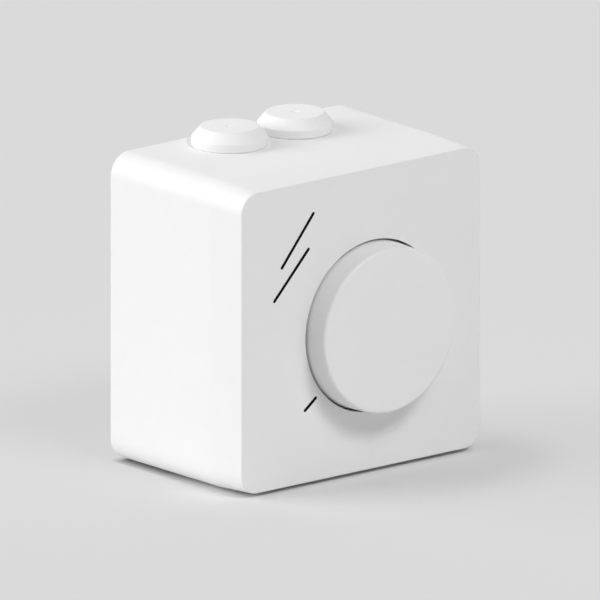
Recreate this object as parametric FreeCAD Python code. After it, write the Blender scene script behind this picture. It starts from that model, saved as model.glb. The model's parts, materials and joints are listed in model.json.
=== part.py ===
"""Surface-mounted fan speed controller: a moulded box with one large dial on the front and two
cable grommets on top.

Millimetres. X runs to the right, Y back to the wall and Z up, and the origin is the centre of the
wall face. The front cover carries the dial in a round well. Behind it an aluminium plate holds the
potentiometer and, on spacers, the circuit board with the triac, choke, fuse and terminals.
"""

import FreeCAD
import Part
import math
import os
from FreeCAD import Vector

# Casing
box_side = 82.0
housing_depth = 39.8
cover_depth = 12.0
cover_taper = 0.8
corner_radius = 6.0
housing_wall = 2.4
back_wall = 2.5
cover_wall = 2.2
front_wall = 2.4
front_edge_chamfer = 0.2
rib_thickness = 1.4

# Joint between housing and cover
rebate_width = 1.3
rebate_depth = 3.0
lip_thickness = 1.0
lip_length = 2.0
lip_gap = 0.15

# Dial place and well
dial_x = 4.2
dial_z = -1.9
well_radius = 22.95
well_depth = 4.5
well_wall = 1.8
well_floor = 2.2

# Dial knob
knob_gap = 0.5
knob_draft = 0.4
knob_height = 6.8
knob_sink = 3.8
knob_edge_radius = 1.3
knob_edge_steps = 2
knob_wall = 1.8
knob_face_wall = 2.0
knob_rib = 1.2
knob_ribs = 6
hub_radius = 5.2
hub_slit = 0.8
hub_slit_length = 3.6
clip_thickness = 0.6
clip_width = 2.4
clip_opening = 2.0

# Potentiometer
shaft_radius = 3.0
shaft_reach = 8.6
spline_teeth = 18
spline_depth = 0.3
running_gap = 0.05
bush_radius = 4.9
bush_proud = 1.2
bush_flange_radius = 6.2
bush_flange = 1.0
nut_flats = 14.0
nut_thickness = 2.6
washer_thickness = 0.6
washer_radius = 7.6
nut_gap = 0.6
pot_radius = 8.3
pot_length = 9.4
pot_case_wall = 0.8
pot_base = 2.0
track_thickness = 0.9
wiper_thickness = 1.6
wiper_radius = 6.4
contact_radius = 5.6
contact_width = 0.9
contact_gap = 0.1
locating_tab = 2.0

# Aluminium mounting plate
plate_thickness = 2.0
plate_edge_gap = 3.1
plate_margin = 3.0
plate_corner = 3.0
flange_width = 36.0
flange_end_margin = 0.5
plate_hole_gap = 0.15

# Sides of the small round pieces and of the larger rings inside, which are many-sided to stay light
small_sides = 8
ring_sides = 16

# Posts, spacers and screws
post_width = 6.6
post_inset = 6.6
post_edge = 4.5
post_spacing = 25.0
pilot_radius = 1.45
pilot_depth = 9.0
cover_screw_offset = 15.0
spacer_flats = 5.5
screw_radius = 1.5
screw_hole_gap = 0.2
head_radius = 2.8
head_height = 1.8
head_slot = 0.8
board_spacer_inset = 3.6

# Wall screws
wall_hole_spacing = 60.0
wall_hole_radius = 2.25

# Cable grommets
grommet_spacing = 22.1
grommet_from_wall = 12.1
grommet_radius = 9.92
grommet_rim = 2.3
grommet_height = 5.03
grommet_top_radius = 7.6
grommet_neck_radius = 8.0
grommet_lip = 0.9
grommet_lip_height = 1.6
grommet_skin = 1.1
grommet_dimple_radius = 1.5
grommet_dimple_depth = 0.45
grommet_hole_gap = 0.1

# Circuit board
board_thickness = 1.6
board_gap = 11.3
board_edge = 0.9
board_margin = 1.0
board_flange_gap = 0.5
lead = 0.7
lead_gap = 0.12
lead_proud = 1.0

# Terminal block
poles = 5
pole_pitch = 5.08
block_height = 12.0
block_depth = 11.0
block_plate_gap = 2.6
clamp_width = 3.6
clamp_height = 4.2
clamp_length = 4.4
clamp_wall = 0.6
clamp_rise = 1.6
clamp_gap = 0.1
terminal_screw_radius = 1.75
terminal_screw_head = 1.8
terminal_shank_radius = 1.1
terminal_setback = 5.5

# Fuse
fuse_length = 20.0
fuse_radius = 2.6
fuse_cap = 5.2
fuse_cap_wall = 0.3
fuse_glass_wall = 0.4
fuse_wire_radius = 0.15
fuse_rise = 5.2
fuse_side_gap = 2.0
clip_spring = 0.4
clip_length = 4.4
clip_mouth = 3.2

# Trimmer
trimmer_side = 10.0
trimmer_height = 5.0
trimmer_gap = 2.0
rotor_radius = 3.4
rotor_thickness = 2.0
rotor_gap = 0.3
rotor_pin_radius = 1.2
rotor_pin_length = 2.0
rotor_slot = 0.9
access_radius = 2.2

# Triac and its fixing
triac_x = -8.0
triac_width = 10.2
triac_body = 9.2
triac_height = 4.4
triac_tab = 6.4
triac_tab_thickness = 1.3
triac_lead_rise = 2.4
triac_lead_pitch = 2.54
triac_board_gap = 2.0
pad_thickness = 0.2
pad_margin = 0.8

# Loose parts on the board
capacitor_width = 18.0
capacitor_height = 14.0
capacitor_depth = 8.5
capacitor_x = -12.5
capacitor_z = -14.0
capacitor_pitch = 15.0
choke_x = 12.0
choke_z = -4.0
choke_radius = 8.4
choke_bore = 4.6
choke_height = 6.4
winding_thickness = 1.1
winding_open_angle = 40.0
choke_lift = 1.2
resistor_length = 6.4
resistor_width = 3.2
resistor_height = 0.7
resistor_x = -19.0
resistor_z = -7.8
resistor_step = 4.0
small_capacitor_width = 7.2
small_capacitor_depth = 2.8
small_capacitor_height = 6.0
small_capacitor_pitch = 5.0
small_capacitor_x = 17.0
small_capacitor_z = -16.0
small_capacitor_step = 4.4
diac_length = 4.2
diac_width = 2.6
diac_height = 2.0
diac_x = 17.0
diac_z = -3.0

# Heights along Y that follow from the sizes above
parting_y = -housing_depth
front_y = parting_y - cover_depth
well_floor_y = front_y + well_depth
well_back_y = well_floor_y + well_floor
nut_front_y = well_back_y + nut_gap
nut_back_y = nut_front_y + nut_thickness
plate_front_y = nut_back_y + washer_thickness
plate_back_y = plate_front_y + plate_thickness
board_front_y = plate_back_y + board_gap
board_back_y = board_front_y + board_thickness
pot_back_y = plate_back_y + pot_length
bush_front_y = well_floor_y - bush_proud
bush_back_y = plate_back_y + pot_case_wall + bush_flange
shaft_front_y = bush_front_y - shaft_reach
knob_front_y = front_y - knob_height
knob_back_y = front_y + knob_sink
lead_end_y = board_back_y + lead_proud

# Places in X and Z that follow from the sizes above
inner_half = box_side / 2 - housing_wall
plate_half = inner_half - plate_edge_gap
plate_bottom_z = -plate_half
plate_top_z = dial_z + pot_radius + plate_margin
flange_top_z = plate_bottom_z + plate_thickness
block_bottom_z = plate_top_z + block_plate_gap
block_top_z = block_bottom_z + block_depth
board_top_z = block_top_z + board_margin
board_bottom_z = flange_top_z + board_flange_gap
block_width = poles * pole_pitch
board_width = 2 * board_edge + block_width + fuse_side_gap + fuse_length
board_half = board_width / 2
block_left_x = -board_half + board_edge
fuse_left_x = block_left_x + block_width + fuse_side_gap
fuse_z = (block_bottom_z + block_top_z) / 2
fuse_y = board_front_y - fuse_rise
trimmer_x = dial_x
trimmer_z = dial_z - pot_radius - trimmer_gap - trimmer_side / 2
post_x = inner_half - post_inset
post_rows = [plate_top_z - post_edge, plate_top_z - post_edge - post_spacing]
post_places = [(side * post_x, z) for side in (-1, 1) for z in post_rows]
top_z = box_side / 2
board_spacer_places = [
    (side * (board_half - board_spacer_inset), z)
    for side in (-1, 1)
    for z in (board_bottom_z + board_spacer_inset, plate_top_z - board_spacer_inset)
]
cover_screw_places = [(dial_x + side * cover_screw_offset, dial_z) for side in (-1, 1)]
grommet_places = {"left": -grommet_spacing / 2, "right": grommet_spacing / 2}


def rounded_outline(half, radius, y):
    """A closed square outline with round corners, in the XZ plane at depth y."""
    straight = half - radius
    bulge = straight + radius * math.sqrt(0.5)
    edges = []
    for quarter in range(4):
        turn = FreeCAD.Rotation(Vector(0, 1, 0), 90 * quarter)
        points = [
            turn.multVec(Vector(x, 0, z)) + Vector(0, y, 0)
            for x, z in ((-straight, half), (straight, half), (bulge, bulge), (half, straight))
        ]
        edges.append(Part.makeLine(points[0], points[1]))
        edges.append(Part.Arc(points[1], points[2], points[3]).toShape())
    return Part.Wire(edges)


def rounded_prism(half, radius, y0, y1, end_half=None, end_radius=None):
    """A square block with round edges along Y, tapering to end_half at y1 where that is given."""
    end = rounded_outline(end_half or half, end_radius or radius, y1)
    return Part.makeLoft([rounded_outline(half, radius, y0), end], True, True)


def block(x0, x1, y0, y1, z0, z1):
    """A plain block between two corners."""
    low = Vector(min(x0, x1), min(y0, y1), min(z0, z1))
    return Part.makeBox(abs(x1 - x0), abs(y1 - y0), abs(z1 - z0), low)


def rod(radius, y0, y1, x=0.0, z=0.0):
    """A round rod along Y."""
    return Part.makeCylinder(radius, abs(y1 - y0), Vector(x, min(y0, y1), z), Vector(0, 1, 0))


def round_corners(sides, reach, centre, axis):
    """The corners of a closed many-sided outline, reach from the centre and square to the axis."""
    turn = FreeCAD.Rotation(Vector(0, 0, 1), axis)
    angles = [2 * math.pi * k / sides for k in range(sides)]
    corners = [centre + turn.multVec(Vector(reach * math.cos(a), reach * math.sin(a), 0)) for a in angles]
    return corners + corners[:1]


def prism(sides, reach, start, along):
    """A many-sided prism whose corners lie reach from the axis that runs from start by along."""
    return Part.Face(Part.makePolygon(round_corners(sides, reach, start, along))).extrude(along)


def hexagon(flats, y0, y1, x=0.0, z=0.0):
    """A hexagonal prism along Y."""
    return prism(6, flats / 2 / math.cos(math.pi / 6), Vector(x, y0, z), Vector(0, y1 - y0, 0))


def sided_rod(radius, y0, y1, x=0.0, z=0.0, sides=small_sides):
    """A small rod along Y whose corners lie on its radius."""
    return prism(sides, radius, Vector(x, y0, z), Vector(0, y1 - y0, 0))


def sided_hole(radius, y0, y1, x=0.0, z=0.0, sides=small_sides):
    """The hole along Y for a small rod, whose flats lie on its radius."""
    return sided_rod(radius / math.cos(math.pi / sides), y0, y1, x, z, sides)


def sided_ring(outer, inner, y0, y1, x=0.0, z=0.0):
    """A ring along Y round something of the inner radius."""
    return sided_rod(outer, y0, y1, x, z, ring_sides).cut(sided_hole(inner, y0, y1, x, z, ring_sides))


def upright_hole(radius, x, y, z0, z1, sides=small_sides):
    """The hole along Z for a screw or a grommet's neck."""
    reach = radius / math.cos(math.pi / sides)
    return prism(sides, reach, Vector(x, y, z0), Vector(0, 0, z1 - z0))


def turned(points, x=0.0, z=0.0):
    """Turns an outline of (radius, y) points about the axis along Y at x, z."""
    corners = [Vector(x + r, y, z) for r, y in points]
    face = Part.Face(Part.makePolygon(corners + corners[:1]))
    return face.revolve(Vector(x, 0, z), Vector(0, 1, 0), 360)


def splined_rod(radius, depth, y0, y1):
    """A rod along Y on the dial's axis with straight teeth round it."""
    corners = []
    for k in range(2 * spline_teeth + 1):
        reach = radius - (depth if k % 2 else 0.0)
        angle = math.pi * k / spline_teeth
        x, z = dial_x + reach * math.cos(angle), dial_z + reach * math.sin(angle)
        corners.append(Vector(x, y0, z))
    return Part.Face(Part.makePolygon(corners)).extrude(Vector(0, y1 - y0, 0))


def pan_screw(x, z, head_y, shank_end_y, radius=screw_radius):
    """A screw along Y whose head sits on head_y and whose shank runs to shank_end_y."""
    away = 1.0 if shank_end_y > head_y else -1.0
    head = sided_rod(head_radius, head_y - away * head_height, head_y, x, z)
    return fused(head, sided_rod(radius, head_y, shank_end_y, x, z))


def slotted_screw(x, z, head_y, shank_end_y):
    """A screw along Y, turned from the front by a slot in its head."""
    top_y = head_y - head_height
    slot_y = top_y + head_height / 2
    slot = block(x - head_radius, x + head_radius, top_y, slot_y, z - head_slot / 2, z + head_slot / 2)
    return pan_screw(x, z, head_y, shank_end_y).cut(slot)


def lead_pin(x, z, y0, y1=None):
    """A square lead from y0 through the board."""
    half = lead / 2
    return block(x - half, x + half, y0, lead_end_y if y1 is None else y1, z - half, z + half)


def fused(first, *others):
    """One clean solid out of several that touch."""
    return first.multiFuse(list(others)).removeSplitter()


# Casing


def rear_housing():
    """The moulded box that is screwed to the wall."""
    outer = rounded_prism(box_side / 2, corner_radius, 0, parting_y)
    cavity = rounded_prism(inner_half, corner_radius - housing_wall, -back_wall, parting_y)
    rebate_half = inner_half + rebate_width
    rebate_radius = corner_radius - housing_wall + rebate_width
    rebate = rounded_prism(rebate_half, rebate_radius, parting_y + rebate_depth, parting_y)
    shell = outer.cut(cavity).cut(rebate)
    solids = []
    web_half = rib_thickness / 2
    web_front = parting_y + rebate_depth
    half_post = post_width / 2
    for x, z in post_places:
        post = block(x - half_post, x + half_post, -back_wall, plate_back_y, z - half_post, z + half_post)
        solids.append(post)
        web_end = math.copysign(inner_half + housing_wall / 2, x)
        solids.append(block(x, web_end, -back_wall, web_front, z - web_half, z + web_half))
    half = wall_hole_spacing / 2
    wall_holes = [(sx * half, sz * half) for sx in (-1, 1) for sz in (-1, 1)]
    shell = fused(shell, *solids)
    for x, z in post_places:
        shell = shell.cut(sided_hole(pilot_radius, plate_back_y, plate_back_y + pilot_depth, x, z))
    for x, z in wall_holes:
        shell = shell.cut(rod(wall_hole_radius, 0, -back_wall, x, z))
    for x in grommet_places.values():
        hole_radius = grommet_neck_radius + grommet_hole_gap
        z0, z1 = inner_half - housing_wall, top_z + housing_wall
        shell = shell.cut(upright_hole(hole_radius, x, -grommet_from_wall, z0, z1, ring_sides))
    return shell


def front_cover():
    """The tapered cover, with the round well that the dial turns in."""
    front_half = box_side / 2 - cover_taper
    front_radius = corner_radius - cover_taper
    outer = rounded_prism(box_side / 2, corner_radius, parting_y, front_y, front_half, front_radius)
    front_edges = [e for e in outer.Edges if e.BoundBox.YMax < front_y + 1e-4]
    outer = outer.makeChamfer(front_edge_chamfer, front_edges)
    inner_y = front_y + front_wall
    inside_half = box_side / 2 - cover_wall
    inside_radius = corner_radius - cover_wall
    share = (parting_y - inner_y) / cover_depth
    inside = rounded_prism(
        inside_half,
        inside_radius,
        parting_y,
        inner_y,
        inside_half - cover_taper * share,
        inside_radius - cover_taper * share,
    )
    shell = outer.cut(inside)
    cup_front = front_y + front_wall / 2
    cup = sided_rod(well_radius + well_wall, well_back_y, cup_front, dial_x, dial_z, ring_sides)
    half = rib_thickness / 2
    rib_y = (inner_y - front_wall / 2, well_back_y)
    across = block(-inside_half, inside_half, *rib_y, dial_z - half, dial_z + half)
    upright = block(dial_x - half, dial_x + half, *rib_y, -inside_half, inside_half)
    ribs = across.fuse(upright).common(outer)
    lip_outer = inner_half + rebate_width - lip_gap
    lip_radius = corner_radius - housing_wall + rebate_width - lip_gap
    lip = rounded_prism(lip_outer, lip_radius, parting_y - cover_wall / 2, parting_y + lip_length)
    lip_inner = rounded_prism(
        lip_outer - lip_thickness,
        lip_radius - lip_thickness,
        parting_y - cover_wall,
        parting_y + lip_length + cover_wall,
    )
    cover = fused(shell, cup, ribs, lip.cut(lip_inner).common(outer.fuse(lip)))
    cover = cover.cut(rod(well_radius, front_y - cover_depth, well_floor_y, dial_x, dial_z))
    bush_way = bush_radius + plate_hole_gap
    cover = cover.cut(sided_hole(bush_way, well_floor_y, well_back_y, dial_x, dial_z, ring_sides))
    cover = cover.cut(sided_hole(access_radius, well_floor_y, well_back_y, trimmer_x, trimmer_z))
    for x, z in cover_screw_places:
        cover = cover.cut(sided_hole(screw_radius + screw_hole_gap, well_floor_y, well_back_y, x, z))
    return cover


def cover_seal():
    """The soft ring at the bottom of the rebate, under the cover's lip."""
    outer_half = inner_half + rebate_width - lip_gap
    outer_radius = corner_radius - housing_wall + rebate_width - lip_gap
    y0, y1 = parting_y + rebate_depth, parting_y + lip_length
    outer = rounded_prism(outer_half, outer_radius, y0, y1)
    return outer.cut(rounded_prism(outer_half - lip_thickness, outer_radius - lip_thickness, y0, y1))


def cable_grommet(x):
    """A soft grommet snapped into the housing's top wall, closed until a cable is pushed through."""
    under_z = top_z - housing_wall
    foot_z = under_z - grommet_lip_height
    cap_z = top_z + grommet_height
    outline = [
        (0, top_z),
        (grommet_radius, top_z),
        (grommet_radius, top_z + grommet_rim),
        (grommet_top_radius, cap_z),
        (0, cap_z),
    ]
    corners = [Vector(x + r, -grommet_from_wall, z) for r, z in outline]
    face = Part.Face(Part.makePolygon(corners + corners[:1]))
    cap = face.revolve(Vector(x, -grommet_from_wall, 0), Vector(0, 0, 1), 360)

    def plug(radius, z0, z1):
        return prism(ring_sides, radius, Vector(x, -grommet_from_wall, z0), Vector(0, 0, z1 - z0))

    lip = plug(grommet_neck_radius + grommet_lip, foot_z, under_z)
    body = fused(cap, plug(grommet_neck_radius, under_z, top_z), lip)
    body = body.cut(plug(grommet_neck_radius - grommet_skin, foot_z, cap_z - grommet_skin))
    top = Vector(x, -grommet_from_wall, cap_z)
    rim = Part.makePolygon(round_corners(ring_sides, grommet_dimple_radius, top, Vector(0, 0, 1)))
    tip = Part.Vertex(top - Vector(0, 0, grommet_dimple_depth))
    return body.cut(Part.makeLoft([Part.Wire(rim), tip], True, True))


# Dial


def control_knob():
    """The dial: a drafted cap with a hub and ribs inside."""
    base = well_radius - knob_gap
    front = base - knob_draft
    outline = [(0, knob_back_y), (base, knob_back_y)]
    for k in range(knob_edge_steps + 1):
        angle = math.pi / 2 * k / knob_edge_steps
        reach = front - knob_edge_radius * (1 - math.cos(angle))
        outline.append((reach, knob_front_y + knob_edge_radius * (1 - math.sin(angle))))
    cap = turned(outline + [(0, knob_front_y)], dial_x, dial_z)
    inside_y = knob_front_y + knob_face_wall
    hollow = sided_rod(front - knob_wall, knob_back_y, inside_y, dial_x, dial_z, ring_sides)
    hub_front = inside_y - knob_face_wall / 2
    hub = sided_rod(hub_radius, hub_back_y(), hub_front, dial_x, dial_z, ring_sides)
    rib_back = hub_back_y() - clip_width
    ribs = []
    for k in range(knob_ribs):
        arm = block(0, front - knob_wall / 2, rib_back, hub_front, -knob_rib / 2, knob_rib / 2)
        arm.rotate(Vector(0, 0, 0), Vector(0, 1, 0), 360 * (k + 0.5) / knob_ribs)
        arm.translate(Vector(dial_x, 0, dial_z))
        ribs.append(arm)
    knob = fused(cap.cut(hollow), hub, *ribs)
    bore_end = shaft_front_y - running_gap
    knob = knob.cut(splined_rod(shaft_radius + running_gap, spline_depth, hub_back_y(), bore_end))
    slit_end = hub_back_y() - hub_slit_length
    half, reach = hub_slit / 2, hub_radius + running_gap
    level = block(dial_x - reach, dial_x + reach, hub_back_y(), slit_end, dial_z - half, dial_z + half)
    upright = block(dial_x - half, dial_x + half, hub_back_y(), slit_end, dial_z - reach, dial_z + reach)
    return knob.cut(level).cut(upright)


def hub_back_y():
    """Where the knob's hub ends, clear of the bush."""
    return bush_front_y - knob_gap


def knob_clip():
    """The spring ring that grips the hub round the shaft."""
    y1 = hub_back_y()
    inner = hub_radius + running_gap
    y0 = y1 - clip_width
    clip = sided_ring(inner + clip_thickness, inner, y0, y1, dial_x, dial_z)
    half = clip_opening / 2
    return clip.cut(block(dial_x, dial_x + 2 * inner, y0, y1, dial_z - half, dial_z + half))


def dial_shaft():
    """The potentiometer's shaft, splined where the knob grips it."""
    plain = rod(shaft_radius, bush_front_y, pot_back_y - pot_base - running_gap, dial_x, dial_z)
    return fused(splined_rod(shaft_radius, spline_depth, shaft_front_y, bush_front_y), plain)


# Potentiometer


def wiper_front_y():
    """Front of the wiper, just behind the bush."""
    return bush_back_y + rotor_gap


def pot_wiper():
    """The disc on the shaft, with the contact that sweeps the track."""
    y0 = wiper_front_y()
    disc = sided_ring(wiper_radius, shaft_radius + running_gap, y0, y0 + wiper_thickness, dial_x, dial_z)
    tip_y = track_front_y() - contact_gap
    half = contact_width / 2
    low_z = dial_z - contact_radius
    y_mid = y0 + wiper_thickness / 2
    return fused(disc, block(dial_x - half, dial_x + half, y_mid, tip_y, low_z, low_z + contact_width))


def track_front_y():
    """Front of the resistance track."""
    return pot_back_y - pot_base - track_thickness


def pot_track():
    """The resistance track's ring, on the base."""
    outer = pot_radius - pot_case_wall - running_gap
    return sided_ring(outer, shaft_radius + rotor_gap, track_front_y(), pot_back_y - pot_base, dial_x, dial_z)


def pot_case():
    """The metal can, with the tab that stops it turning in the plate."""
    y_end = plate_back_y + pot_case_wall
    can = sided_rod(pot_radius, plate_back_y, pot_back_y, dial_x, dial_z, ring_sides)
    can = can.cut(sided_rod(pot_radius - pot_case_wall, y_end, pot_back_y, dial_x, dial_z, ring_sides))
    can = can.cut(sided_hole(bush_radius + running_gap, plate_back_y, y_end, dial_x, dial_z, ring_sides))
    half = locating_tab / 2
    tab_x = dial_x - pot_radius
    return fused(can, block(tab_x, tab_x + pot_case_wall, plate_front_y, y_end, dial_z - half, dial_z + half))


def pot_bush():
    """The threaded bush, clamped through the plate by the nut."""
    y_flange = plate_back_y + pot_case_wall
    body = sided_rod(bush_radius, bush_front_y, y_flange, dial_x, dial_z, ring_sides)
    flange = sided_rod(bush_flange_radius, y_flange, bush_back_y, dial_x, dial_z, ring_sides)
    return fused(body, flange).cut(rod(shaft_radius + running_gap, bush_front_y, bush_back_y, dial_x, dial_z))


def pot_nut():
    """The hexagon nut in front of the plate."""
    nut = hexagon(nut_flats, nut_front_y, nut_back_y, dial_x, dial_z)
    return nut.cut(sided_hole(bush_radius + running_gap, nut_front_y, nut_back_y, dial_x, dial_z, ring_sides))


def pot_washer():
    """The lock washer under the nut."""
    return sided_ring(washer_radius, bush_radius + running_gap, nut_back_y, plate_front_y, dial_x, dial_z)


def pot_pin_places():
    """Three track pins and two switch pins, in an arc below the shaft."""
    reach = pot_radius - pot_case_wall - 2 * lead
    angles = [math.radians(a) for a in (200, 235, 270, 305, 340)]
    return [(dial_x + reach * math.cos(a), dial_z + reach * math.sin(a)) for a in angles]


def pot_deck():
    """The moulded base that closes the can and holds the pins."""
    outer = pot_radius - pot_case_wall - running_gap
    deck = sided_rod(outer, pot_back_y - pot_base, pot_back_y, dial_x, dial_z, ring_sides)
    for x, z in pot_pin_places():
        deck = deck.cut(lead_hole(x, z, pot_back_y - pot_base / 2, pot_back_y))
    return deck


def pot_pins():
    """The pins from the base to the board."""
    return [lead_pin(x, z, pot_back_y - pot_base / 2) for x, z in pot_pin_places()]


# Plate, spacers and screws


def mounting_plate():
    """The aluminium plate, with its heat sink flange folded back under the board."""
    flat = block(-plate_half, plate_half, plate_front_y, plate_back_y, plate_bottom_z, plate_top_z)
    corners = [e for e in flat.Edges if e.BoundBox.YLength > plate_thickness / 2]
    flat = flat.makeFillet(plate_corner, corners)
    flange_back_y = triac_back_y() + pad_margin + flange_end_margin
    half = flange_width / 2
    flange = block(-half, half, plate_front_y, flange_back_y, plate_bottom_z, flange_top_z)
    plate = fused(flat, flange)
    bends = [
        e
        for e in plate.Edges
        if abs(e.BoundBox.XLength - flange_width) < 1e-4
        and abs(e.BoundBox.YMin - plate_back_y) < 1e-4
        and abs(e.BoundBox.ZMin - flange_top_z) < 1e-4
    ]
    if bends:
        plate = plate.makeFillet(board_flange_gap, bends)
    bush_way = bush_radius + plate_hole_gap
    holes = [sided_hole(bush_way, plate_front_y, plate_back_y, dial_x, dial_z, ring_sides)]
    access = access_radius + plate_hole_gap
    holes.append(sided_hole(access, plate_front_y, plate_back_y, trimmer_x, trimmer_z))
    reach = locating_tab / 2 + plate_hole_gap
    tab_x = dial_x - pot_radius
    holes.append(
        block(
            tab_x - plate_hole_gap,
            tab_x + pot_case_wall + plate_hole_gap,
            plate_front_y,
            plate_back_y,
            dial_z - reach,
            dial_z + reach,
        )
    )
    for x, z in post_places:
        holes.append(sided_hole(screw_radius + screw_hole_gap, plate_front_y, plate_back_y, x, z))
    y = triac_hole_y()
    holes.append(upright_hole(screw_radius + screw_hole_gap, triac_x, y, plate_bottom_z, flange_top_z))
    for hole in holes:
        plate = plate.cut(hole)
    return plate


def plate_screws():
    """Screws that hold the plate to the housing's posts."""
    end_y = plate_back_y + pilot_depth - head_height
    return [pan_screw(x, z, plate_front_y, end_y, pilot_radius - running_gap) for x, z in post_places]


def tapped_spacer(x, z, free_y, seat_y):
    """A tapped hexagonal spacer that stands on the plate."""
    bore = sided_hole(screw_radius + running_gap, free_y, seat_y, x, z)
    return hexagon(spacer_flats, free_y, seat_y, x, z).cut(bore)


def cover_spacers():
    """Spacers in front of the plate that the cover is screwed to."""
    return [tapped_spacer(x, z, well_back_y, plate_front_y) for x, z in cover_screw_places]


def cover_screws():
    """Two slotted screws on the well's floor, under the dial."""
    return [slotted_screw(x, z, well_floor_y, plate_front_y - running_gap) for x, z in cover_screw_places]


def board_spacers():
    """Spacers behind the plate that the board is screwed to."""
    return [tapped_spacer(x, z, board_front_y, plate_back_y) for x, z in board_spacer_places]


def board_screws():
    """Screws that hold the board to its spacers, from behind."""
    return [
        pan_screw(x, z, board_back_y, board_front_y - head_radius * 2)
        for x, z in board_spacer_places
    ]


# Circuit board


def lead_hole(x, z, y0, y1):
    """The square hole that a lead passes through."""
    half = lead / 2 + lead_gap
    return block(x - half, x + half, y0, y1, z - half, z + half)


def lead_places():
    """Every lead that goes through the board."""
    places = list(pot_pin_places()) + terminal_lead_places() + fuse_lead_places() + trimmer_lead_places()
    places += triac_lead_places() + pair(capacitor_x, capacitor_z, capacitor_pitch) + choke_lead_places()
    for z in small_capacitor_rows():
        places += pair(small_capacitor_x, z, small_capacitor_pitch)
    return places


def pair(x, z, pitch):
    """Two lead places side by side."""
    return [(x - pitch / 2, z), (x + pitch / 2, z)]


def circuit_board():
    """The board, with a hole for each lead and each spacer screw."""
    board = block(-board_half, board_half, board_front_y, board_back_y, board_bottom_z, board_top_z)
    for x, z in lead_places():
        board = board.cut(lead_hole(x, z, board_front_y, board_back_y))
    for x, z in board_spacer_places:
        board = board.cut(sided_hole(screw_radius + screw_hole_gap, board_front_y, board_back_y, x, z))
    return board


def pole_centres():
    """The middle of each pole of the terminal block."""
    return [block_left_x + pole_pitch * (k + 0.5) for k in range(poles)]


def terminal_lead_places():
    """One lead under each pole, behind its clamp."""
    return [(x, block_bottom_z + lead) for x in pole_centres()]


def clamp_box(x, grow):
    """The space of one clamp, or with a gap of its pocket."""
    half = clamp_width / 2 + grow
    y0 = board_front_y - clamp_rise + grow
    y1 = board_front_y - clamp_rise - clamp_height - grow
    z_mid = block_bottom_z + terminal_setback
    reach = clamp_length / 2 + grow
    return block(x - half, x + half, y0, y1, z_mid - reach, z_mid + reach)


def terminal_block():
    """The screw terminals' body: a screw well in front of each pole and a wire mouth on top."""
    front = board_front_y - block_height
    body = block(block_left_x, block_left_x + block_width, front, board_front_y, block_bottom_z, block_top_z)
    z_mid = block_bottom_z + terminal_setback
    mouth_low = board_front_y - clamp_rise - clamp_wall
    mouth_high = board_front_y - clamp_rise - clamp_height + clamp_wall
    half = clamp_width / 2 - clamp_wall
    well_end = board_front_y - clamp_rise - clamp_height
    for x in pole_centres():
        body = body.cut(clamp_box(x, clamp_gap))
        body = body.cut(sided_hole(terminal_screw_radius + clamp_gap, front, well_end, x, z_mid))
        body = body.cut(block(x - half, x + half, mouth_low, mouth_high, z_mid, block_top_z))
    return fused(body, *[lead_pin(x, z, board_front_y) for x, z in terminal_lead_places()])


def terminal_clamps():
    """The cage clamps that grip the wires."""
    cages = []
    z_mid = block_bottom_z + terminal_setback
    for x in pole_centres():
        half = clamp_width / 2 - clamp_wall
        y0 = board_front_y - clamp_rise - clamp_wall
        y1 = board_front_y - clamp_rise - clamp_height + clamp_wall
        window = block(x - half, x + half, y0, y1, z_mid - clamp_length, z_mid + clamp_length)
        screw_way = sided_hole(terminal_shank_radius + running_gap, y1, y1 - 2 * clamp_wall, x, z_mid)
        cages.append(clamp_box(x, 0.0).cut(window).cut(screw_way))
    return cages


def terminal_screws():
    """The screws over the clamps."""
    screws = []
    z_mid = block_bottom_z + terminal_setback
    head_y = board_front_y - clamp_rise - clamp_height - clamp_gap
    for x in pole_centres():
        head = sided_rod(terminal_screw_radius, head_y - terminal_screw_head, head_y, x, z_mid)
        shank = sided_rod(terminal_shank_radius, head_y, head_y + clamp_gap + 2 * clamp_wall, x, z_mid)
        screws.append(fused(head, shank))
    return screws


# Fuse


def along_x(radius, x0, x1, y, z):
    """A small rod along X."""
    return prism(small_sides, radius, Vector(x0, y, z), Vector(x1 - x0, 0, 0))


def fuse_end_spans():
    """The two stretches along X that the fuse's caps take."""
    right = fuse_left_x + fuse_length
    return [(fuse_left_x, fuse_left_x + fuse_cap), (right - fuse_cap, right)]


def fuse_caps():
    """The metal caps at the fuse's ends."""
    caps = []
    for k, (x0, x1) in enumerate(fuse_end_spans()):
        bore = (x0 + fuse_cap_wall, x1) if k == 0 else (x0, x1 - fuse_cap_wall)
        cap = along_x(fuse_radius, x0, x1, fuse_y, fuse_z)
        caps.append(cap.cut(along_x(fuse_radius - fuse_cap_wall, *bore, fuse_y, fuse_z)))
    return caps


def fuse_glass():
    """The fuse's glass tube, seated in its caps."""
    x0, x1 = fuse_left_x + fuse_cap_wall, fuse_left_x + fuse_length - fuse_cap_wall
    outer = fuse_radius - fuse_cap_wall - running_gap
    bore = along_x(outer - fuse_glass_wall, x0, x1, fuse_y, fuse_z)
    return along_x(outer, x0, x1, fuse_y, fuse_z).cut(bore)


def fuse_wire():
    """The wire that melts, from cap to cap."""
    x0, x1 = fuse_left_x + fuse_cap_wall, fuse_left_x + fuse_length - fuse_cap_wall
    return along_x(fuse_wire_radius, x0, x1, fuse_y, fuse_z)


def fuse_lead_places():
    """A lead under the middle of each clip."""
    return [((x0 + x1) / 2, fuse_z) for x0, x1 in fuse_end_spans()]


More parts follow.
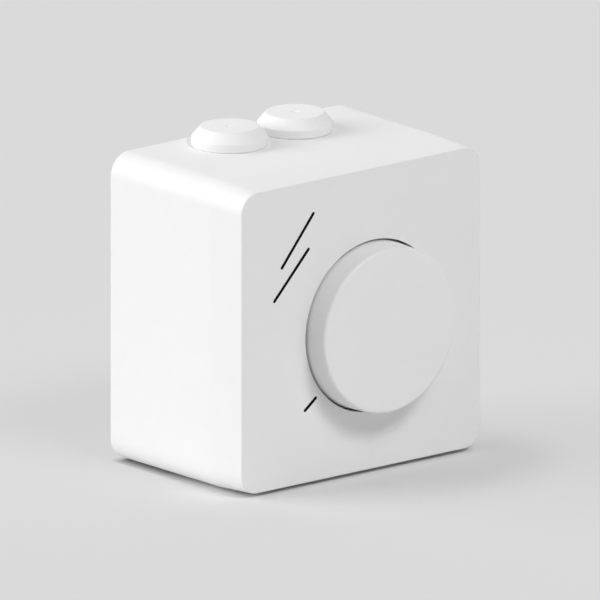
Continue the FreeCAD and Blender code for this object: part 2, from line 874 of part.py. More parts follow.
def fuse_clips():
    """The sprung clips that hold the fuse's caps."""
    clips = []
    inner = fuse_radius + running_gap
    outer = inner + clip_spring
    for x_mid, z in fuse_lead_places():
        x0, x1 = x_mid - clip_length / 2, x_mid + clip_length / 2
        half = clip_mouth / 2
        mouth = block(x0, x1, fuse_y, fuse_y - 2 * outer, fuse_z - half, fuse_z + half)
        foot = block(x0, x1, board_front_y, fuse_y + inner, fuse_z - half, fuse_z + half)
        bow = along_x(outer, x0, x1, fuse_y, fuse_z).fuse(foot)
        bow = bow.cut(along_x(inner, x0, x1, fuse_y, fuse_z)).cut(mouth)
        clips.append(fused(bow, lead_pin(x_mid, z, board_front_y)))
    return clips


# Trimmer


def trimmer_lead_places():
    """Three leads at the trimmer's lower half."""
    reach = trimmer_side / 2 - 2 * lead
    places = [(trimmer_x + side * reach, trimmer_z - reach) for side in (-1, 1)]
    return places + [(trimmer_x, trimmer_z + reach)]


def trimmer_body():
    """The lowest speed's trimmer, with a round seat for its rotor."""
    front = board_front_y - trimmer_height
    half = trimmer_side / 2
    body = block(trimmer_x - half, trimmer_x + half, front, board_front_y, trimmer_z - half, trimmer_z + half)
    body = body.makeChamfer(lead, [e for e in body.Edges if e.BoundBox.YLength > trimmer_height / 2])
    seat_y = front + rotor_thickness
    seat = sided_hole(rotor_radius + rotor_gap, front, seat_y, trimmer_x, trimmer_z, ring_sides)
    body = body.cut(seat)
    pin_end = seat_y + rotor_pin_length + running_gap
    body = body.cut(rod(rotor_pin_radius + running_gap, seat_y, pin_end, trimmer_x, trimmer_z))
    return fused(body, *[lead_pin(x, z, board_front_y) for x, z in trimmer_lead_places()])


def trimmer_rotor():
    """The trimmer's rotor, with a cross slot for a screwdriver."""
    seat_y = board_front_y - trimmer_height + rotor_thickness
    front = seat_y - rotor_thickness
    disc = sided_rod(rotor_radius, front, seat_y - rotor_gap, trimmer_x, trimmer_z, ring_sides)
    pin = rod(rotor_pin_radius, front + rotor_thickness / 2, seat_y + rotor_pin_length, trimmer_x, trimmer_z)
    half, reach = rotor_slot / 2, rotor_radius - rotor_slot
    slot_y = front + rotor_thickness / 2
    level = block(trimmer_x - reach, trimmer_x + reach, front, slot_y, trimmer_z - half, trimmer_z + half)
    upright = block(trimmer_x - half, trimmer_x + half, front, slot_y, trimmer_z - reach, trimmer_z + reach)
    return fused(disc, pin).cut(level).cut(upright)


# Triac


def triac_front_y():
    """The end of the triac's body that its leads leave, behind the board."""
    return board_back_y + triac_board_gap


def triac_back_y():
    """The end of the triac's tab, towards the wall."""
    return triac_front_y() + triac_body + triac_tab


def triac_hole_y():
    """The middle of the tab's hole."""
    return triac_back_y() - triac_tab / 2


def triac_lead_places():
    """Three leads that go forward through the board."""
    z = flange_top_z + pad_thickness + triac_lead_rise
    return [(triac_x + k * triac_lead_pitch, z) for k in (-1, 0, 1)]


def triac():
    """The triac, flat on the flange, with its tab towards the wall."""
    low = flange_top_z + pad_thickness
    y0 = triac_front_y()
    y1 = y0 + triac_body
    half = triac_width / 2
    body = block(triac_x - half, triac_x + half, y0, y1, low, low + triac_height)
    tab = block(triac_x - half, triac_x + half, y0, y1 + triac_tab, low, low + triac_tab_thickness)
    leads = [lead_pin(x, z, board_front_y - lead_proud, y0) for x, z in triac_lead_places()]
    hole = upright_hole(screw_radius + screw_hole_gap, triac_x, triac_hole_y(), low, low + triac_height)
    return fused(body, tab, *leads).cut(hole)


def triac_pad():
    """The insulating pad between the triac and the flange."""
    half = triac_width / 2 + pad_margin
    y0 = triac_front_y() - pad_margin
    y1 = triac_back_y() + pad_margin
    pad = block(triac_x - half, triac_x + half, y0, y1, flange_top_z, flange_top_z + pad_thickness)
    top = flange_top_z + pad_thickness
    return pad.cut(upright_hole(screw_radius + screw_hole_gap, triac_x, triac_hole_y(), flange_top_z, top))


def triac_screw():
    """The screw through the tab and the flange."""
    seat_z = flange_top_z + pad_thickness + triac_tab_thickness
    y = triac_hole_y()
    head = prism(small_sides, head_radius, Vector(triac_x, y, seat_z), Vector(0, 0, head_height))
    shank_end = plate_bottom_z - nut_drop()
    shank = prism(small_sides, screw_radius, Vector(triac_x, y, shank_end), Vector(0, 0, seat_z - shank_end))
    return fused(head, shank)


def nut_drop():
    """How far the triac's nut reaches under the flange."""
    return head_height + 2 * running_gap


def triac_nut():
    """The nut under the flange."""
    y = triac_hole_y()
    low = plate_bottom_z - head_height
    reach = spacer_flats / 2 / math.cos(math.pi / 6)
    nut = prism(6, reach, Vector(triac_x, y, low), Vector(0, 0, head_height))
    return nut.cut(upright_hole(screw_radius + running_gap, triac_x, y, low, plate_bottom_z))


# Loose parts on the board


def suppression_capacitor():
    """The boxed mains capacitor behind the board."""
    half_w, half_d = capacitor_width / 2, capacitor_depth / 2
    y1 = board_back_y + capacitor_height
    x0, z0 = capacitor_x - half_w, capacitor_z - half_d
    case = block(x0, x0 + capacitor_width, board_back_y, y1, z0, z0 + capacitor_depth)
    case = case.makeChamfer(lead, [e for e in case.Edges if e.BoundBox.YLength > capacitor_height / 2])
    pins = pair(capacitor_x, capacitor_z, capacitor_pitch)
    return fused(case, *[lead_pin(x, z, board_front_y - lead_proud, board_back_y) for x, z in pins])


def choke_front_y():
    """The side of the choke's core next to the board."""
    return board_back_y + choke_lift + winding_thickness


def choke_core():
    """The choke's ferrite ring."""
    y0 = choke_front_y()
    return sided_ring(choke_radius, choke_bore, y0, y0 + choke_height, choke_x, choke_z)


def choke_lead_places():
    """Where the winding's two ends go through the board."""
    reach = choke_radius + winding_thickness / 2
    angle = math.radians(winding_open_angle / 2 + 8)
    return [(choke_x + reach * math.cos(a), choke_z + reach * math.sin(a)) for a in (angle, -angle)]


def choke_winding():
    """The winding's outer form round the ring, open where its ends leave."""
    y0 = choke_front_y()
    grow = winding_thickness
    y1 = y0 + choke_height
    sleeve = sided_ring(choke_radius + grow, choke_bore - grow, y0 - grow, y1 + grow, choke_x, choke_z)
    sleeve = sleeve.cut(sided_ring(choke_radius, choke_bore, y0, y1, choke_x, choke_z))
    reach = 2 * choke_radius
    half = math.radians(winding_open_angle / 2)
    corners = [
        Vector(choke_x, y0 - 2 * grow, choke_z),
        Vector(choke_x + reach, y0 - 2 * grow, choke_z - reach * math.tan(half)),
        Vector(choke_x + reach, y0 - 2 * grow, choke_z + reach * math.tan(half)),
    ]
    wedge = Part.Face(Part.makePolygon(corners + corners[:1]))
    wedge = wedge.extrude(Vector(0, choke_height + 4 * grow, 0))
    leads = [lead_pin(x, z, board_front_y - lead_proud, y0) for x, z in choke_lead_places()]
    return fused(sleeve.cut(wedge), *leads)


def flat_part(x, z, length, width, height):
    """A small part soldered flat on the board's front."""
    half, reach = length / 2, width / 2
    return block(x - half, x + half, board_front_y - height, board_front_y, z - reach, z + reach)


def resistor_rows():
    """Heights of the three resistors."""
    return [resistor_z + k * resistor_step for k in range(3)]


def timing_resistors():
    """Three resistors beside the potentiometer."""
    sizes = (resistor_length, resistor_width, resistor_height)
    return [flat_part(resistor_x, z, *sizes) for z in resistor_rows()]


def trigger_diac():
    """The small part that fires the triac."""
    return flat_part(diac_x, diac_z, diac_length, diac_width, diac_height)


def small_capacitor_rows():
    """Heights of the two film capacitors."""
    return [small_capacitor_z - k * small_capacitor_step for k in range(2)]


def timing_capacitors():
    """Two small film capacitors."""
    parts = []
    for z in small_capacitor_rows():
        half_w, half_d = small_capacitor_width / 2, small_capacitor_depth / 2
        front = board_front_y - small_capacitor_height
        x = small_capacitor_x
        case = block(x - half_w, x + half_w, front, board_front_y, z - half_d, z + half_d)
        pins = [lead_pin(px, pz, board_front_y) for px, pz in pair(x, z, small_capacitor_pitch)]
        parts.append(fused(case, *pins))
    return parts


nodes = {
    "rear_housing": rear_housing,
    "front_cover": front_cover,
    "cover_seal": cover_seal,
    "control_knob": control_knob,
    "knob_clip": knob_clip,
    "dial_shaft": dial_shaft,
    "pot_wiper": pot_wiper,
    "pot_track": pot_track,
    "pot_case": pot_case,
    "pot_bush": pot_bush,
    "pot_nut": pot_nut,
    "pot_washer": pot_washer,
    "pot_deck": pot_deck,
    "pot_pins": pot_pins,
    "mounting_plate": mounting_plate,
    "plate_screws": plate_screws,
    "cover_spacers": cover_spacers,
    "cover_screws": cover_screws,
    "board_spacers": board_spacers,
    "board_screws": board_screws,
    "circuit_board": circuit_board,
    "terminal_block": terminal_block,
    "terminal_clamps": terminal_clamps,
    "terminal_screws": terminal_screws,
    "fuse_caps": fuse_caps,
    "fuse_glass": fuse_glass,
    "fuse_wire": fuse_wire,
    "fuse_clips": fuse_clips,
    "trimmer_body": trimmer_body,
    "trimmer_rotor": trimmer_rotor,
    "triac": triac,
    "triac_pad": triac_pad,
    "triac_screw": triac_screw,
    "triac_nut": triac_nut,
    "suppression_capacitor": suppression_capacitor,
    "choke_core": choke_core,
    "choke_winding": choke_winding,
    "timing_resistors": timing_resistors,
    "timing_capacitors": timing_capacitors,
    "trigger_diac": trigger_diac,
}
for side, place in grommet_places.items():
    nodes[f"cable_grommet_{side}"] = lambda x=place: cable_grommet(x)

os.makedirs("parts", exist_ok=True)
for name, make in nodes.items():
    shape = make()
    if isinstance(shape, list):
        shape = Part.makeCompound(shape)
    shape.exportStep(os.path.join("parts", name + ".step"))
    print(name, len(shape.Solids), shape.isValid(), round(shape.Volume, 1))
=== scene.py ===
"""Looks of the fan speed controller: finishes for every piece, softly rounded skins for the dial
and the grommets, the printed strokes on the front, and the photograph's camera, floor and light.

Metres, in the model's own frame: X right, Y back to the wall, Z up.
"""

import bmesh
import bpy
import json
import math
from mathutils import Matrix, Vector

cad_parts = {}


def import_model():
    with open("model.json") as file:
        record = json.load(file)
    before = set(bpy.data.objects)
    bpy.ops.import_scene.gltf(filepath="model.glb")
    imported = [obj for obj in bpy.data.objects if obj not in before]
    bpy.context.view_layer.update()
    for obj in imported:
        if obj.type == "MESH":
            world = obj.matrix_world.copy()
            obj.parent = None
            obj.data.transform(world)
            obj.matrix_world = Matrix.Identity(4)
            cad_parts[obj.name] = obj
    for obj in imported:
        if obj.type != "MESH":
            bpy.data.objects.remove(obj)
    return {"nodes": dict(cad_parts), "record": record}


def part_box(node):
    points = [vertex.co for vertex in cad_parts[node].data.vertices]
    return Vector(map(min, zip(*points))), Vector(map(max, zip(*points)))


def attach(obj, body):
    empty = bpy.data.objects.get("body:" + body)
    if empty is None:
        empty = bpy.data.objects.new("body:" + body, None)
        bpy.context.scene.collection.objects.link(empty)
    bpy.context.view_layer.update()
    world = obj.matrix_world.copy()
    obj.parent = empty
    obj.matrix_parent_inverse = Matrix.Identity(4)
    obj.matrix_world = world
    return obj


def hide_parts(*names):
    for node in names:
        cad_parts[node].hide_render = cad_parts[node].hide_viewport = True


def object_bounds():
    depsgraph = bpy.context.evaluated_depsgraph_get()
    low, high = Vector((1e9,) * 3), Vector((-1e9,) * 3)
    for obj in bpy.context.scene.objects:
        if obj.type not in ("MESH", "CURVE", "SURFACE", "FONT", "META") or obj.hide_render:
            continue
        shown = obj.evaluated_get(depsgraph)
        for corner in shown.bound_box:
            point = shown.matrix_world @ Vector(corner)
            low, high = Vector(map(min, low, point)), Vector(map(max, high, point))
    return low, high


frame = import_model()
cad_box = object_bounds()
nodes = frame["nodes"]

MILLIMETRE = 0.001

# The photograph's camera: a parallel projection from the front left, a little above
IMAGE_SIZE = 600
CAMERA_AZIMUTH = math.radians(-40)
CAMERA_ELEVATION = math.radians(15)
CAMERA_DISTANCE = 1.0
CAMERA_CLIP = (0.01, 20.0)
PIXELS_PER_METRE = 3868.0
FACE_CENTRE_PIXEL = (361.0, 320.8)

# Lights as (name, azimuth, elevation, strength, angular size), angles in degrees
SUNS = [
    ("key_from_back_left", -130, 28, 1.98, 50),
    ("low_from_left", -112, 9, 0.89, 30),
    ("top_from_back_right", 130, 45, 0.57, 60),
    ("front_left", -36, 50, 0.23, 20),
    ("front", -4, 50, 0.76, 20),
    ("front_right", 10, 50, 0.67, 20),
    ("low_front", 25, 10, 0.51, 40),
]

# Background and floor. The camera sees a share of the background's plain tone on the floor: the
# first of PLAIN_SHARES in the core of an oval round the foot of the front, and the second beyond
# its reach along x and y. Nearer to the object than the painted shade's reach, that tone darkens:
# it is painted shade where the object stands.
BACKGROUND_COLOUR = (0.70, 0.70, 0.70, 1.0)
FLOOR_COLOUR = (0.77, 0.77, 0.77)
FLOOR_ROUGHNESS = 0.9
FLOOR_GRAIN = 300
FLOOR_MOTTLE = 0.004
FLOOR_REACH = 3.0
FLOOR_GAP = 0.0003
PLAIN_SHARES = (0.06, 0.75)
SHADOW_REACH = (0.066, 0.046)
SHADOW_CORE = 0.55
PAINTED_SHADE_REACH = 0.0025

# Noise in the finishes: its detail, the range that most of its values lie in, and how many waves of
# grain go into one wave of colour
NOISE_DETAIL = 3.0
NOISE_ROUGHNESS = 0.55
NOISE_RANGE = (0.3, 0.7)
GRAIN_PER_MOTTLE = 12

# What some finishes are given: their metallic value, and what their waves per metre are
# multiplied by along x, y and z
METAL = 1.0
ROLLED = (1, 1, 0.08)
TURNED = (1, 6, 1)
WOUND = (1, 0.1, 1)

WHITE = (0.86, 0.86, 0.86)
SMOOTH_WHITE = (0.875, 0.875, 0.875)

GLASS_COLOUR = (0.95, 0.98, 0.98, 1.0)
GLASS_TRANSMISSION = 0.92
GLASS_IOR = 1.5
GLASS_ROUGHNESS = (0.02, 0.08)
GLASS_RIPPLE = 400
GLASS_RIPPLE_DEPTH = 0.000004

# Softened skins: what counts as the same place, height or reach, from which angle an edge is
# sharp, and how finely a corner is rounded. The last is the share of the rounding's radius that
# one more point lies beside it.
MERGE_DISTANCE = 0.000001
HEIGHT_TOLERANCE = 0.00001
RIM_TOLERANCE = 0.00002
SKIN_MARGIN = 0.0001
SHARP_ANGLE = math.radians(30)
CORNER_STEPS = 8
BESIDE_CORNER = 0.25

# The dial: how much its side draws in, its side wall, and the radius of its face's edge
KNOB_DRAFT = 0.0004
KNOB_WALL = 0.0018
KNOB_EDGE = 0.0009

# The grommets: the height of the rim, the reach of the flat top, the radius of the edges, the
# undercut at the foot, and the dimple in the middle
GROMMET_RIM = 0.0023
GROMMET_TOP = 0.0076
GROMMET_EDGE = 0.0002
GROMMET_UNDERCUT = 0.0003
DIMPLE_REACH = 0.0012
DIMPLE_DEPTH = 0.0007

# Printed strokes on the front, as points (x, z) in millimetres from the dial's axis
STROKE_WIDTH = 0.00086
STROKE_STEPS = 24
ROUND_END_STEPS = 8
INK_THICKNESS = 0.00003
STROKES = {
    "scale_stroke_long": [(-20.28, 33.4), (-25.58, 27.0), (-30.88, 20.6)],
    "scale_stroke_short": [(-21.93, 24.13), (-27.93, 17.83), (-33.43, 12.08)],
    "off_tick": [(-19.5, -16.1), (-21.3, -17.5), (-23.1, -18.85)],
}


# Node trees


def set_inputs(tree, node, inputs):
    """Sets a node's inputs to values, or links them where they are given other nodes' outputs."""
    for name, value in inputs.items():
        if isinstance(value, bpy.types.NodeSocket):
            tree.links.new(value, node.inputs[name])
        else:
            node.inputs[name].default_value = value


def add_node(tree, kind, inputs, **settings):
    """A new node with these inputs and settings."""
    node = tree.nodes.new(f"ShaderNode{kind}")
    for name, value in settings.items():
        setattr(node, name, value)
    set_inputs(tree, node, inputs)
    return node


def noise(tree, place, scale, stretch=None):
    """Noise at a scale in waves per metre, multiplied along x, y and z where that is given."""
    if stretch:
        place = add_node(tree, "Mapping", {"Vector": place, "Scale": stretch}).outputs["Vector"]
    inputs = {"Vector": place, "Scale": scale, "Detail": NOISE_DETAIL, "Roughness": NOISE_ROUGHNESS}
    return add_node(tree, "TexNoise", inputs).outputs["Fac"]


def map_range(tree, value, before, after, interpolation="LINEAR"):
    """Takes a value from one range to another, and no further than its ends."""
    ends = {"From Min": before[0], "From Max": before[1], "To Min": after[0], "To Max": after[1]}
    node = add_node(tree, "MapRange", {"Value": value, **ends}, interpolation_type=interpolation)
    return node.outputs["Result"]


def mottled(tree, factor, colour, amount):
    """A colour that goes from darker to lighter by a share, over the range of a noise."""
    node = add_node(tree, "ValToRGB", {"Fac": factor})
    for element, position, change in zip(node.color_ramp.elements, NOISE_RANGE, (-amount, amount)):
        element.position = position
        element.color = (*(c * (1 + change) for c in colour), 1.0)
    return node.outputs["Color"]


def raised(tree, height, depth):
    """The normal of a surface raised by height times depth, in metres."""
    return add_node(tree, "Bump", {"Height": height, "Distance": depth}).outputs["Normal"]


def combined(tree, operation, first, second):
    """Two values combined by a math operation."""
    return add_node(tree, "Math", {0: first, 1: second}, operation=operation).outputs["Value"]


def seen_directly(tree):
    """One for rays from the camera or a mirror or through glass, and nothing for soft light."""
    path = add_node(tree, "LightPath", {}).outputs
    seen = combined(tree, "MAXIMUM", path["Is Camera Ray"], path["Is Glossy Ray"])
    return combined(tree, "MAXIMUM", seen, path["Is Transmission Ray"])


# Materials

MATERIALS = {}


def new_material(name):
    """Adds a material, and gives its node tree, its shader and its texture coordinates."""
    material = bpy.data.materials.new(name)
    material.use_nodes = True
    MATERIALS[name] = material
    tree = material.node_tree
    shader = next(n for n in tree.nodes if n.type == "BSDF_PRINCIPLED")
    return tree, shader, add_node(tree, "TexCoord", {}).outputs["Object"]


def add_finish(
    slot, colour, roughness, grain, depth, mottle,
    metallic=0.0, stretch=None, sheen=0.0, specular=0.5,
):
    """Adds a slot's material, with fine grain, slightly uneven colour and uneven gloss.

    Roughness goes from one value to another. The grain is given in waves per metre and its depth in
    metres. Mottle is the share by which the colour varies.
    """
    tree, shader, place = new_material(slot)
    broad = noise(tree, place, grain / GRAIN_PER_MOTTLE, stretch)
    fine = noise(tree, place, grain, stretch)
    inputs = {
        "Base Color": mottled(tree, broad, colour, mottle),
        "Roughness": map_range(tree, fine, NOISE_RANGE, roughness),
        "Metallic": metallic,
        "Specular IOR Level": specular,
        "Sheen Weight": sheen,
        "Normal": raised(tree, fine, depth),
    }
    set_inputs(tree, shader, inputs)


def add_clear_glass(slot):
    """Adds the fuse's glass, with faint ripples."""
    tree, shader, place = new_material(slot)
    ripple = noise(tree, place, GLASS_RIPPLE)
    inputs = {
        "Base Color": GLASS_COLOUR,
        "Transmission Weight": GLASS_TRANSMISSION,
        "IOR": GLASS_IOR,
        "Roughness": map_range(tree, ripple, NOISE_RANGE, GLASS_ROUGHNESS),
        "Normal": raised(tree, ripple, GLASS_RIPPLE_DEPTH),
    }
    set_inputs(tree, shader, inputs)


def add_floor_paper(slot):
    """Adds the floor's pale paper, which the camera sees mostly as the background's tone.

    The paper itself shows in the oval, so that the object's shadow does too. The plain tone carries
    painted shade: it darkens in a thin line where the object stands.
    """
    tree, shader, place = new_material(slot)
    paper = {
        "Base Color": mottled(tree, noise(tree, place, FLOOR_GRAIN), FLOOR_COLOUR, FLOOR_MOTTLE),
        "Roughness": FLOOR_ROUGHNESS,
        "Specular IOR Level": 0.0,
    }
    set_inputs(tree, shader, paper)
    # Painted shade: ambient occlusion darkens the plain tone close to where the object stands
    painted_contact_shade = add_node(tree, "AmbientOcclusion", {"Distance": PAINTED_SHADE_REACH}).outputs["AO"]
    plain = add_node(tree, "Emission", {"Color": BACKGROUND_COLOUR, "Strength": painted_contact_shade})
    oval = {
        "Vector": place,
        "Scale": (1 / SHADOW_REACH[0], 1 / SHADOW_REACH[1], 0),
        "Location": (0, -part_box("front_cover")[0].y / SHADOW_REACH[1], 0),
    }
    spot = add_node(tree, "Mapping", oval).outputs["Vector"]
    away = add_node(tree, "VectorMath", {0: spot}, operation="LENGTH").outputs["Value"]
    fade = map_range(tree, away, (SHADOW_CORE, 1.0), PLAIN_SHARES, "SMOOTHSTEP")
    share = combined(tree, "MULTIPLY", seen_directly(tree), fade)
    both = {"Fac": share, 1: shader.outputs["BSDF"], 2: plain.outputs["Emission"]}
    output = next(n for n in tree.nodes if n.type == "OUTPUT_MATERIAL")
    set_inputs(tree, output, {"Surface": add_node(tree, "MixShader", both).outputs["Shader"]})


add_finish("housing_plastic", WHITE, (0.56, 0.64), 2600, 0.000004, 0.006)
add_finish("cover_plastic", WHITE, (0.56, 0.64), 2600, 0.000004, 0.006)
add_finish("dial_plastic", SMOOTH_WHITE, (0.36, 0.44), 3200, 0.000003, 0.006)
add_finish("grommet_rubber", SMOOTH_WHITE, (0.5, 0.6), 2200, 0.000005, 0.01, sheen=0.1)
add_finish("seal_rubber", (0.09, 0.09, 0.095), (0.6, 0.75), 1800, 0.00001, 0.1)
add_finish("plate_aluminium", (0.72, 0.73, 0.74), (0.28, 0.4), 1500, 0.000003, 0.04, METAL, ROLLED)
add_finish("screw_steel", (0.62, 0.63, 0.64), (0.2, 0.35), 2500, 0.000003, 0.06, METAL)
add_finish("pot_can_steel", (0.6, 0.61, 0.62), (0.25, 0.38), 1800, 0.000004, 0.05, METAL)
add_finish("bush_brass", (0.66, 0.56, 0.36), (0.22, 0.34), 2600, 0.000003, 0.05, METAL)
add_finish("shaft_steel", (0.6, 0.6, 0.62), (0.18, 0.3), 2600, 0.000003, 0.05, METAL, TURNED)
add_finish("pot_phenolic", (0.2, 0.1, 0.045), (0.45, 0.6), 1600, 0.000008, 0.15)
add_finish("track_carbon", (0.02, 0.02, 0.02), (0.5, 0.7), 2600, 0.000004, 0.2)
add_finish("lead_tin", (0.66, 0.66, 0.64), (0.25, 0.4), 2200, 0.000004, 0.05, METAL)
add_finish("board_laminate", (0.03, 0.16, 0.06), (0.25, 0.4), 1400, 0.000005, 0.12)
add_finish("terminal_plastic", (0.05, 0.22, 0.09), (0.4, 0.5), 1800, 0.000006, 0.05)
add_finish("clamp_brass", (0.66, 0.63, 0.52), (0.25, 0.38), 2200, 0.000004, 0.05, METAL)
add_finish("trimmer_plastic", (0.03, 0.03, 0.035), (0.4, 0.5), 2000, 0.000005, 0.1)
add_finish("rotor_plastic", (0.72, 0.68, 0.58), (0.3, 0.42), 2200, 0.000004, 0.03)
add_finish("triac_epoxy", (0.02, 0.02, 0.022), (0.5, 0.65), 2000, 0.000008, 0.15)
add_finish("pad_silicone", (0.4, 0.42, 0.45), (0.6, 0.7), 1500, 0.000006, 0.04)
add_finish("capacitor_plastic", (0.7, 0.52, 0.06), (0.25, 0.35), 1500, 0.000004, 0.04)
add_finish("ferrite", (0.05, 0.055, 0.06), (0.55, 0.7), 1600, 0.00001, 0.2)
add_finish("winding_copper", (0.72, 0.3, 0.1), (0.2, 0.32), 1200, 0.00004, 0.08, METAL, WOUND)
add_finish("chip_coating", (0.012, 0.012, 0.013), (0.35, 0.5), 1600, 0.000006, 0.06)
add_finish("film_capacitor", (0.5, 0.06, 0.03), (0.2, 0.3), 1500, 0.000005, 0.05)
add_finish("diode_epoxy", (0.014, 0.014, 0.015), (0.4, 0.55), 1800, 0.000004, 0.05)
add_finish("black_ink", (0.004, 0.004, 0.004), (0.5, 0.65), 4200, 0.000003, 0.25, specular=0.05)
add_clear_glass("fuse_glass")
add_floor_paper("floor_paper")


def dress(piece, slot):
    """Gives a piece the finish of a material slot."""
    piece.data.materials.clear()
    piece.data.materials.append(MATERIALS[slot])


for row in frame["record"]["subparts"]:
    dress(nodes[row["node"]], row["material_slot"])


# Objects and meshes


def direction(azimuth, elevation):
    """The unit vector from the object towards a viewer or light at these angles, in radians."""
    level = math.cos(elevation)
    return Vector((math.sin(azimuth) * level, -math.cos(azimuth) * level, math.sin(elevation)))


def add_object(name, data):
    """A new object in the scene, which holds a mesh, lamp or lens."""
    piece = bpy.data.objects.new(name, data)
    bpy.context.scene.collection.objects.link(piece)
    return piece


def add_facing(name, data, place, towards):
    """A new lamp or lens at a place, with its back to the unit vector towards."""
    holder = add_object(name, data)
    holder.location = place
    holder.rotation_euler = towards.to_track_quat("Z", "Y").to_euler()
    return holder


def finished_mesh(name, build):
    """A mesh from a bmesh, which is freed."""
    mesh = bpy.data.meshes.new(name)
    build.to_mesh(mesh)
    build.free()
    return mesh


def join_rings(build, low, high):
    """Adds the faces between two closed rings of equally many vertices."""
    for k in range(len(low)):
        n = (k + 1) % len(low)
        build.faces.new((low[k], low[n], high[n], high[k]))


def curve(start, bend, end, steps):
    """Points along a quadratic curve that leaves start towards bend and meets end from there."""
    line = []
    for k in range(steps + 1):
        t = k / steps
        line.append((1 - t) ** 2 * start + 2 * t * (1 - t) * bend + t * t * end)
    return line


# Softened forms: copies of CAD nodes whose outer skin follows a smooth, softly rounded line


def rounded_line(points, radius):
    """A line through (reach, height) points whose corners between its ends are rounded.

    One more point beside each rounding keeps the shading of the straight stretches even.
    """
    line = [points[0]]
    for before, corner, after in zip(points, points[1:], points[2:]):
        back, ahead = (before - corner).normalized(), (after - corner).normalized()
        start, end = corner + back * radius, corner + ahead * radius
        line.append(start + back * radius * BESIDE_CORNER)
        line += curve(start, corner, end, CORNER_STEPS)
        line.append(end + ahead * radius * BESIDE_CORNER)
    return line + [points[-1]]


def softened(name, node, foot, out, core, lid, points, radius, undercut=0.0):
    """A copy of a CAD node with a new skin from its rim at the foot, along out, to its top.

    Faces beyond core from the axis, and those higher than lid, belong to the old skin. The new one
    follows the points, (reach, height) from the foot, with corners rounded by radius, and the rim
    moves in by undercut.
    """
    side = out.orthogonal().normalized()
    across = out.cross(side)

    def height(vertex):
        return (vertex.co - foot).dot(out)

    def reach(vertex):
        return (vertex.co - foot - out * height(vertex)).length

    def turn(vertex):
        return math.atan2((vertex.co - foot).dot(across), (vertex.co - foot).dot(side))

    def in_old_skin(face):
        heights = [height(v) for v in face.verts]
        beyond_core = min(reach(v) for v in face.verts) > core
        return min(heights) > lid or (beyond_core and max(heights) > HEIGHT_TOLERANCE)

    build = bmesh.new()
    build.from_mesh(nodes[node].data)
    build.transform(nodes[node].matrix_world)
    bmesh.ops.remove_doubles(build, verts=build.verts, dist=MERGE_DISTANCE)
    old = [face for face in build.faces if in_old_skin(face)]
    bmesh.ops.delete(build, geom=old, context="FACES")
    full = max(reach(v) for v in build.verts)
    at_foot = [v for v in build.verts if abs(height(v)) < HEIGHT_TOLERANCE]
    rim = sorted((v for v in at_foot if reach(v) > full - RIM_TOLERANCE), key=turn)
    arms = [side * math.cos(turn(v)) + across * math.sin(turn(v)) for v in rim]
    for vertex, arm in zip(rim, arms):
        vertex.co -= arm * undercut
    rings = [rim]
    for point in rounded_line([Vector((full - undercut, 0))] + points, radius)[1:-1]:
        middle = foot + out * point.y
        rings.append([build.verts.new(middle + arm * point.x) for arm in arms])
    for low, high in zip(rings, rings[1:]):
        join_rings(build, low, high)
    tip = build.verts.new(foot + out * points[-1].y)
    top = rings[-1]
    for vertex, following in zip(top, top[1:] + top[:1]):
        build.faces.new((vertex, following, tip))
    bmesh.ops.recalc_face_normals(build, faces=build.faces)
    for face in build.faces:
        face.smooth = True
    for edge in build.edges:
        edge.smooth = edge.calc_face_angle(0) < SHARP_ANGLE
    mesh = finished_mesh(name, build)
    # The normals that come with the CAD node don't fit the new skin
    if mesh.has_custom_normals:
        mesh.attributes.remove(mesh.attributes["custom_normal"])
    return add_object(name, mesh)


def soft_knob():
    """The dial, with the edge of its face evenly rounded."""
    low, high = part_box("control_knob")
    foot = Vector(((low.x + high.x) / 2, high.y, (low.z + high.z) / 2))
    top = high.y - low.y
    face_reach = (high.x - low.x) / 2 - KNOB_DRAFT
    core = face_reach - KNOB_WALL + SKIN_MARGIN
    lid = top - KNOB_EDGE
    points = [Vector((face_reach, top)), Vector((0, top))]
    out = Vector((0, -1, 0))
    piece = softened("soft_knob", "control_knob", foot, out, core, lid, points, KNOB_EDGE)
    dress(piece, "dial_plastic")
    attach(piece, "dial")
    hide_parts("control_knob")


def soft_grommet(side):
    """A cable grommet with soft edges, a slight undercut and a round dimple in its middle."""
    node = f"cable_grommet_{side}"
    low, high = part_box(node)
    foot_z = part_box("rear_housing")[1].z
    foot = Vector(((low.x + high.x) / 2, (low.y + high.y) / 2, foot_z))
    top = high.z - foot_z
    half = (high.x - low.x) / 2
    core = GROMMET_TOP - SKIN_MARGIN
    lid = top - DIMPLE_DEPTH - SKIN_MARGIN
    points = [
        Vector((half, GROMMET_UNDERCUT)),
        Vector((half, GROMMET_RIM)),
        Vector((GROMMET_TOP, top)),
        Vector((DIMPLE_REACH, top)),
        Vector((0, top - DIMPLE_DEPTH)),
    ]
    name, out = f"soft_grommet_{side}", Vector((0, 0, 1))
    piece = softened(name, node, foot, out, core, lid, points, GROMMET_EDGE, GROMMET_UNDERCUT)
    dress(piece, "grommet_rubber")
    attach(piece, "housing")
    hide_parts(node)


soft_knob()
for grommet_side in ("left", "right"):
    soft_grommet(grommet_side)


# Printed strokes


def round_end(centre, first):
    """The points of a stroke's round end, clockwise round its centre from the first, without it."""
    arm = first - centre
    angle = math.atan2(arm.y, arm.x)
    turns = [angle - math.pi * k / ROUND_END_STEPS for k in range(1, ROUND_END_STEPS)]
    half = STROKE_WIDTH / 2
    return [centre + half * Vector((math.cos(turn), math.sin(turn))) for turn in turns]


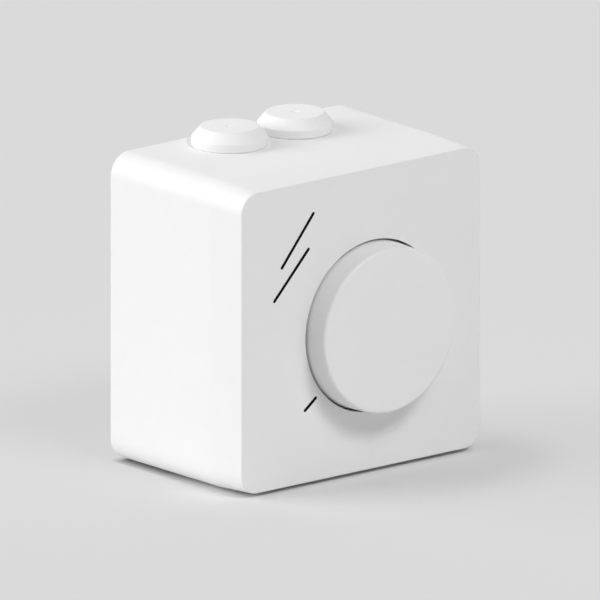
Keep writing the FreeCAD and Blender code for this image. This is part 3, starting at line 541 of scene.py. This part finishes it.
def stroke(name, points):
    """A printed stroke through three points: a thin layer of ink on the front, with round ends."""
    knob_low, knob_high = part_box("control_knob")
    axis = (knob_low + knob_high) / 2
    axis_place = Vector((axis.x, axis.z))
    start, middle, end = [Vector(point) * MILLIMETRE + axis_place for point in points]
    line = curve(start, 2 * middle - (start + end) / 2, end, STROKE_STEPS)
    left, right = [], []
    for before, point, after in zip(line[:1] + line, line, line[1:] + line[-1:]):
        along = (after - before).normalized()
        side = Vector((-along.y, along.x)) * (STROKE_WIDTH / 2)
        left.append(point + side)
        right.append(point - side)
    outline = left + round_end(end, left[-1]) + right[::-1] + round_end(start, right[0])
    face_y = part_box("front_cover")[0].y
    build = bmesh.new()
    front = [build.verts.new((p.x, face_y - INK_THICKNESS, p.y)) for p in outline]
    back = [build.verts.new((p.x, face_y, p.y)) for p in outline]
    build.faces.new(front)
    build.faces.new(back[::-1])
    join_rings(build, front, back)
    bmesh.ops.recalc_face_normals(build, faces=build.faces)
    piece = add_object(name, finished_mesh(name, build))
    dress(piece, "black_ink")
    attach(piece, "housing")


for stroke_name, stroke_points in STROKES.items():
    stroke(stroke_name, stroke_points)


# Floor, light and camera


def floor():
    """A plain pale floor, just under the object."""
    mesh = bpy.data.meshes.new("floor")
    reach, z = FLOOR_REACH, cad_box[0][2] - FLOOR_GAP
    corners = [(-reach, -reach, z), (reach, -reach, z), (reach, reach, z), (-reach, reach, z)]
    mesh.from_pydata(corners, [], [(0, 1, 2, 3)])
    piece = add_object("floor", mesh)
    dress(piece, "floor_paper")


def world():
    """The background's tone where the camera, a mirror or glass sees it. It lights nothing."""
    sky = bpy.data.worlds.new("studio")
    bpy.context.scene.world = sky
    sky.use_nodes = True
    tree = sky.node_tree
    tree.nodes.clear()
    shown = {"Color": BACKGROUND_COLOUR, "Strength": seen_directly(tree)}
    background = add_node(tree, "Background", shown).outputs["Background"]
    add_node(tree, "OutputWorld", {"Surface": background})


def sun(name, azimuth, elevation, strength, size):
    """A soft sun that shines from these angles, in degrees."""
    lamp = bpy.data.lights.new(name, "SUN")
    lamp.energy = strength
    lamp.angle = math.radians(size)
    towards = direction(math.radians(azimuth), math.radians(elevation))
    add_facing(name, lamp, towards, towards)


def camera():
    """The photograph's camera, placed so that the face's centre falls on its pixel."""
    towards = direction(CAMERA_AZIMUTH, CAMERA_ELEVATION)
    right = Vector((0, 0, 1)).cross(towards).normalized()
    up = towards.cross(right)
    face_centre = Vector((0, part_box("front_cover")[0].y, 0))
    across, down = [(pixel - IMAGE_SIZE / 2) / PIXELS_PER_METRE for pixel in FACE_CENTRE_PIXEL]
    aim = face_centre - right * across + up * down
    lens = bpy.data.cameras.new("camera")
    lens.type = "ORTHO"
    lens.ortho_scale = IMAGE_SIZE / PIXELS_PER_METRE
    lens.clip_start, lens.clip_end = CAMERA_CLIP
    holder = add_facing("camera", lens, aim + towards * CAMERA_DISTANCE, towards)
    bpy.context.scene.camera = holder


floor()
world()
for sun_row in SUNS:
    sun(*sun_row)
camera()
bpy.context.scene.view_settings.view_transform = "Standard"
